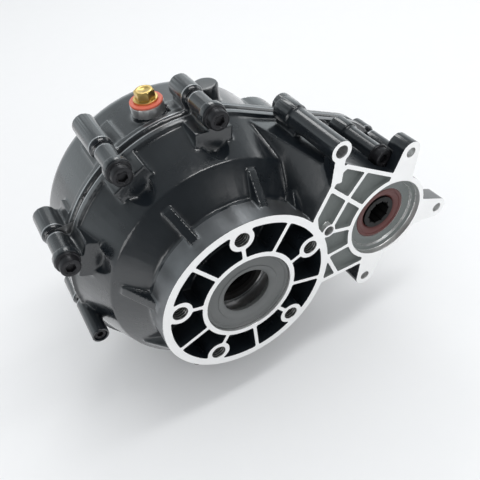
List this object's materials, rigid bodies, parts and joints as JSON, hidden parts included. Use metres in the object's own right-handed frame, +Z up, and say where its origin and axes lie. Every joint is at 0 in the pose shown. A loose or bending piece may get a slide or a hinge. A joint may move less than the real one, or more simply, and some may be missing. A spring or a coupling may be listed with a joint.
{
  "type": "vehicle transmission",
  "caption": "Rear axle reduction gearbox with differential for a light electric vehicle, black two-part case with machined flanges.",
  "frame": {"origin": "centre of the front axle flange's machined face, on the axle's line", "axes": "+Y along the axle into the case, +X towards the input shaft and motor flange, +Z up"},
  "size_m": [0.2697, 0.15, 0.219],
  "materials": {
    "black_painted_casting": "gloss black paint over a die casting, with bare machined flange faces",
    "gasket": "matte fibre sheet",
    "black_screw": "black oxide",
    "bright_steel": "ground",
    "gear_steel": "oiled, machined",
    "cast_iron": "as cast, turned seats",
    "brass": "bright, slightly dull",
    "copper_red": "coral red sealing washer",
    "grey_rubber": "satin",
    "red_rubber": "satin reddish brown"
  },
  "bodies": {
    "housing": {"front_housing": "black_painted_casting", "rear_housing": "black_painted_casting", "case_gasket": "gasket", "case_bolts": "black_screw", "dowel_pins": "bright_steel", "filler_plug": "brass", "filler_plug_washer": "copper_red", "drain_plug": "black_screw", "drain_plug_washer": "copper_red", "front_axle_seal": "grey_rubber", "rear_axle_seal": "grey_rubber", "input_seal": "red_rubber", "differential_bearing_outer_rings": "bright_steel", "intermediate_bearing_outer_rings": "bright_steel", "input_bearing_outer_rings": "bright_steel"},
    "differential": {"differential_case": "cast_iron", "differential_cover": "cast_iron", "differential_cover_screws": "gear_steel", "ring_gear": "gear_steel", "ring_gear_bolts": "gear_steel", "cross_pin": "bright_steel", "cross_pin_lock": "bright_steel", "side_gear_washers": "bright_steel", "planet_gear_washers": "bright_steel", "differential_bearing_inner_rings": "bright_steel"},
    "front_side_gear": {"front_side_gear": "gear_steel"},
    "rear_side_gear": {"rear_side_gear": "gear_steel"},
    "upper_planet_gear": {"upper_planet_gear": "gear_steel"},
    "lower_planet_gear": {"lower_planet_gear": "gear_steel"},
    "intermediate_shaft": {"intermediate_shaft": "gear_steel", "intermediate_gear": "gear_steel", "gear_key": "gear_steel", "intermediate_bearing_inner_rings": "bright_steel"},
    "input_shaft": {"input_shaft": "gear_steel", "input_bearing_inner_rings": "bright_steel"}
  },
  "joints": [
    {"name": "differential_spin", "type": "hinge", "parent": "housing", "child": "differential", "pos_m": [0, 0.07, 0], "axis": [0, 1, 0], "continuous": true},
    {"name": "intermediate_shaft_spin", "type": "hinge", "parent": "housing", "child": "intermediate_shaft", "pos_m": [0.07539, 0.08, 0.02677], "axis": [0, 1, 0], "continuous": true},
    {"name": "input_shaft_spin", "type": "hinge", "parent": "housing", "child": "input_shaft", "pos_m": [0.1116, 0.05, 0.0055], "axis": [0, 1, 0], "continuous": true},
    {"name": "front_side_gear_spin", "type": "hinge", "parent": "differential", "child": "front_side_gear", "pos_m": [0, 0.07, 0], "axis": [0, 1, 0], "continuous": true},
    {"name": "rear_side_gear_spin", "type": "hinge", "parent": "differential", "child": "rear_side_gear", "pos_m": [0, 0.07, 0], "axis": [0, 1, 0], "continuous": true},
    {"name": "upper_planet_gear_spin", "type": "hinge", "parent": "differential", "child": "upper_planet_gear", "pos_m": [0, 0.07, 0], "axis": [0, 0, 1], "continuous": true},
    {"name": "lower_planet_gear_spin", "type": "hinge", "parent": "differential", "child": "lower_planet_gear", "pos_m": [0, 0.07, 0], "axis": [0, 0, 1], "continuous": true}
  ],
  "couplings": [
    {"joint": "intermediate_shaft_spin", "follows": "differential_spin", "ratio": -3.9231},
    {"joint": "input_shaft_spin", "follows": "differential_spin", "ratio": 8.7515},
    {"joint": "rear_side_gear_spin", "follows": "front_side_gear_spin", "ratio": -1},
    {"joint": "upper_planet_gear_spin", "follows": "front_side_gear_spin", "ratio": 1.6},
    {"joint": "lower_planet_gear_spin", "follows": "front_side_gear_spin", "ratio": -1.6}
  ]
}
